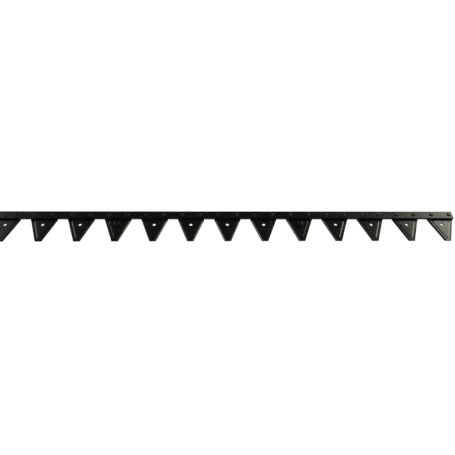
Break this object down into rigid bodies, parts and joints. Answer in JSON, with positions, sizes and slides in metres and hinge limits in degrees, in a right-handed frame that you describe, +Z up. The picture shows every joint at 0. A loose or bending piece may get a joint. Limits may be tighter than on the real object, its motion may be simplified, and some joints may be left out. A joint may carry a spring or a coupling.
{
  "type": "assembled sickle section",
  "caption": "Flat steel knife back with ground triangular cutting sections riveted under it and raised guide studs, painted black all over.",
  "frame": {"origin": "middle of the plan, on the flat underside of the sections", "axes": "+X along the knife back, +Y from the cutting tips to the back of the bar, +Z up from the underside to the rivet heads"},
  "size_m": [0.97, 0.0716, 0.01],
  "materials": {
    "painted_knife_back": "semi-gloss black paint",
    "painted_section": "semi-gloss black paint",
    "painted_rivet": "semi-gloss black paint",
    "painted_stud": "semi-gloss black paint"
  },
  "bodies": {
    "root": {"knife_back": "painted_knife_back", "section_01": "painted_section", "section_02": "painted_section", "section_03": "painted_section", "section_04": "painted_section", "section_05": "painted_section", "section_06": "painted_section", "section_07": "painted_section", "section_08": "painted_section", "section_09": "painted_section", "section_10": "painted_section", "section_11": "painted_section", "section_12": "painted_section", "section_13": "painted_section", "guide_stud_04": "painted_stud", "guide_stud_09": "painted_stud", "rivet_01_left": "painted_rivet", "rivet_01_right": "painted_rivet", "rivet_02_left": "painted_rivet", "rivet_02_right": "painted_rivet", "rivet_03_left": "painted_rivet", "rivet_03_right": "painted_rivet", "rivet_04_left": "painted_rivet", "rivet_04_right": "painted_rivet", "rivet_05_left": "painted_rivet", "rivet_05_right": "painted_rivet", "rivet_06_left": "painted_rivet", "rivet_06_right": "painted_rivet", "rivet_07_left": "painted_rivet", "rivet_07_right": "painted_rivet", "rivet_08_left": "painted_rivet", "rivet_08_right": "painted_rivet", "rivet_09_left": "painted_rivet", "rivet_09_right": "painted_rivet", "rivet_10_left": "painted_rivet", "rivet_10_right": "painted_rivet", "rivet_11_left": "painted_rivet", "rivet_11_right": "painted_rivet", "rivet_12_left": "painted_rivet", "rivet_12_right": "painted_rivet", "rivet_13_left": "painted_rivet", "rivet_13_right": "painted_rivet"}
  },
  "joints": []
}
